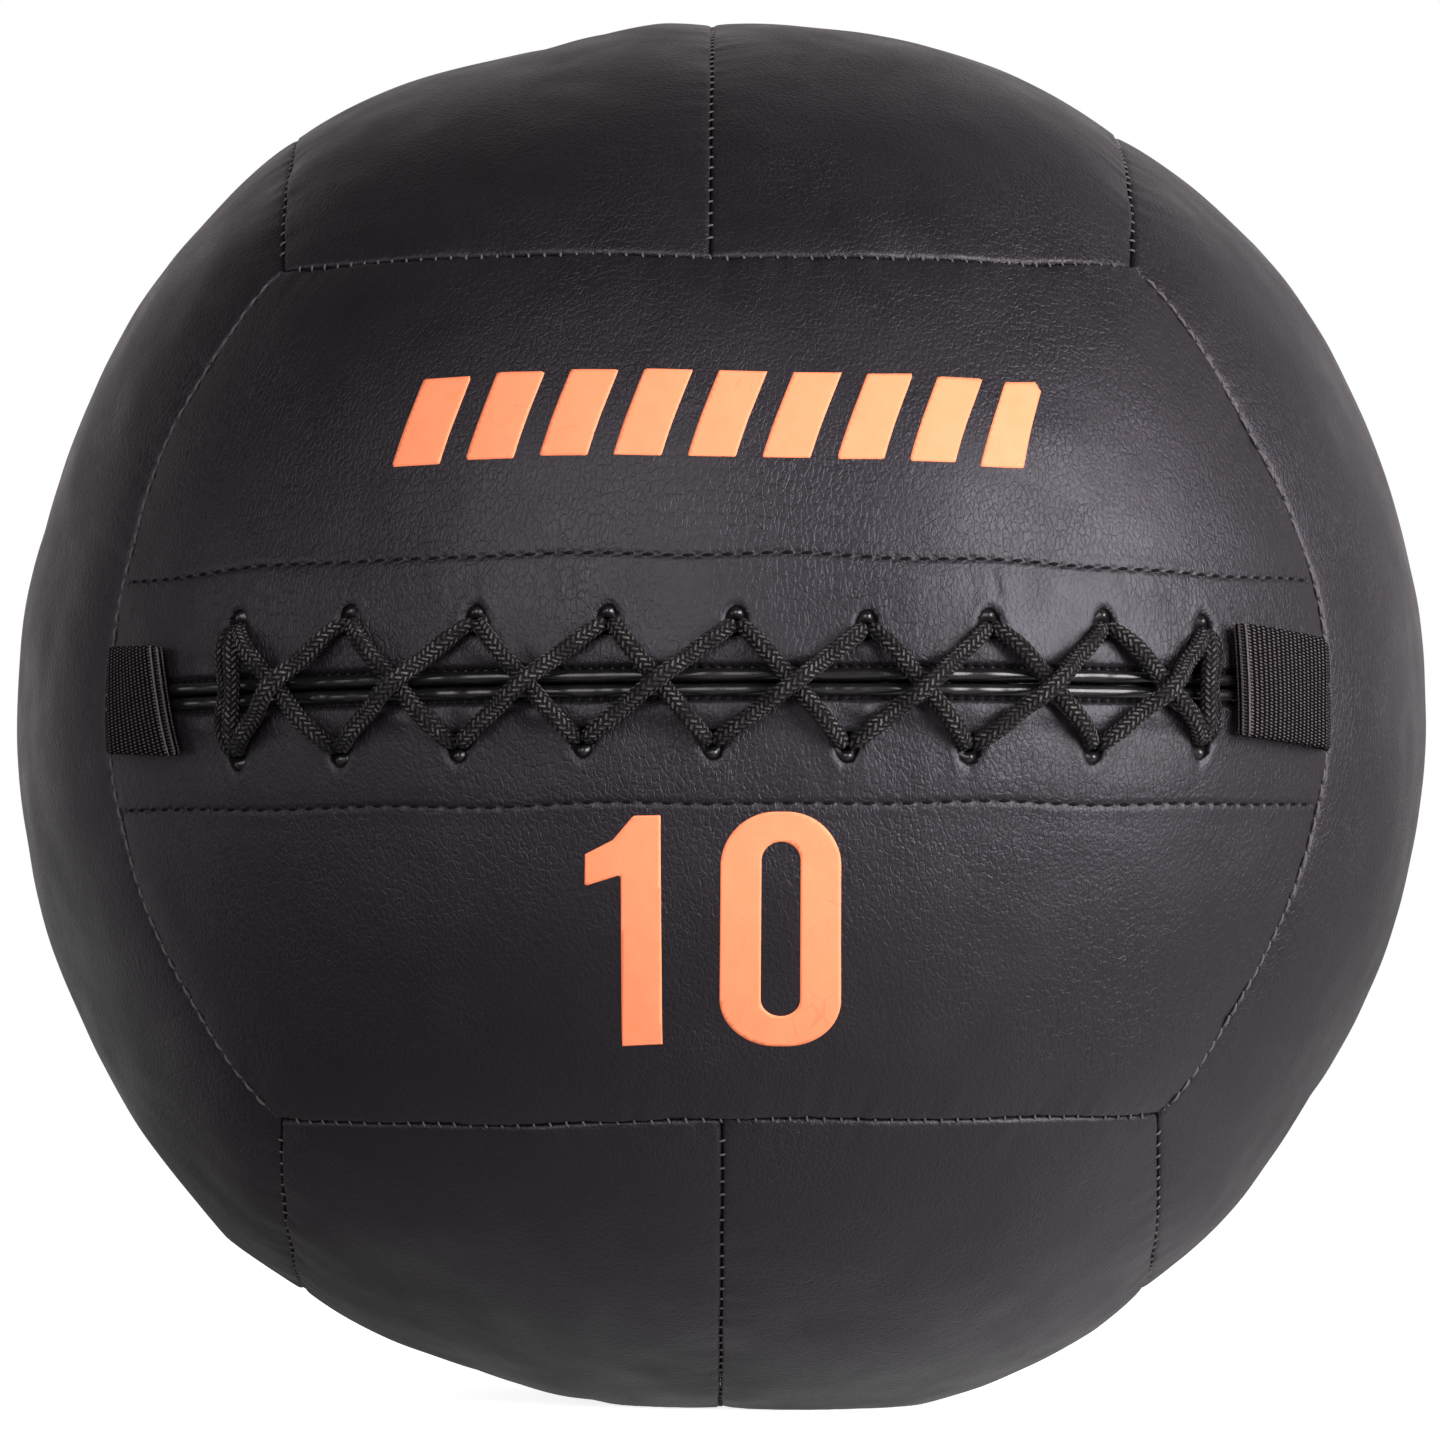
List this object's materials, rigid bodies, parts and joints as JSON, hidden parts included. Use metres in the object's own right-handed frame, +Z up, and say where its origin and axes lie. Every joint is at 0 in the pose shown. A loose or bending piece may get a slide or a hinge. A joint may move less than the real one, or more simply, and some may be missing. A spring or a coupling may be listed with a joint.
{
  "type": "wall ball",
  "caption": "Large padded vinyl medicine ball with a laced front slit and folded webbing tabs at the slit's ends.",
  "frame": {"origin": "centre of the ball's outline at floor level, on the small flat it rests on", "axes": "+Z up, the laced face looks along -Y, +X to the right as the laced face is seen"},
  "size_m": [0.3536, 0.3636, 0.3498],
  "materials": {
    "skin": "grained black vinyl, half gloss",
    "lining": "smooth glossy vinyl",
    "foam": "open grey foam",
    "filling": "packed textile",
    "cord": "round braid, dull",
    "webbing": "woven nylon, dull",
    "canvas": "plain canvas",
    "ballast": "loose granules"
  },
  "bodies": {
    "ball": {"back_lower_pad": "foam", "back_lower_panel": "skin", "back_upper_pad": "foam", "back_upper_panel": "skin", "bottom_left_pad": "foam", "bottom_left_panel": "skin", "bottom_right_pad": "foam", "bottom_right_panel": "skin", "core_bag": "canvas", "core_bag_tie": "cord", "core_ballast": "ballast", "filling_lower": "filling", "filling_upper": "filling", "front_lower_pad": "foam", "front_lower_panel": "skin", "front_upper_pad": "foam", "front_upper_panel": "skin", "lace": "cord", "lace_facing_lower": "lining", "lace_facing_upper": "lining", "left_back_pad": "foam", "left_back_panel": "skin", "left_front_pad": "foam", "left_front_panel": "skin", "right_back_pad": "foam", "right_back_panel": "skin", "right_front_pad": "foam", "right_front_panel": "skin", "slit_tongue": "lining", "top_left_pad": "foam", "top_left_panel": "skin", "top_right_pad": "foam", "top_right_panel": "skin"},
    "tab_left": {"webbing_tab_left": "webbing"},
    "tab_right": {"webbing_tab_right": "webbing"}
  },
  "joints": [
    {"name": "tab_left_lift", "type": "hinge", "parent": "ball", "child": "tab_left", "pos_m": [-0.14727, -0.09865, 0.17334], "axis": [0, 0, -1], "range_deg": [0, 110], "stiffness_Nm_per_rad": 0.002},
    {"name": "tab_right_lift", "type": "hinge", "parent": "ball", "child": "tab_right", "pos_m": [0.14727, -0.09865, 0.17334], "axis": [0, 0, 1], "range_deg": [0, 110], "stiffness_Nm_per_rad": 0.002}
  ]
}
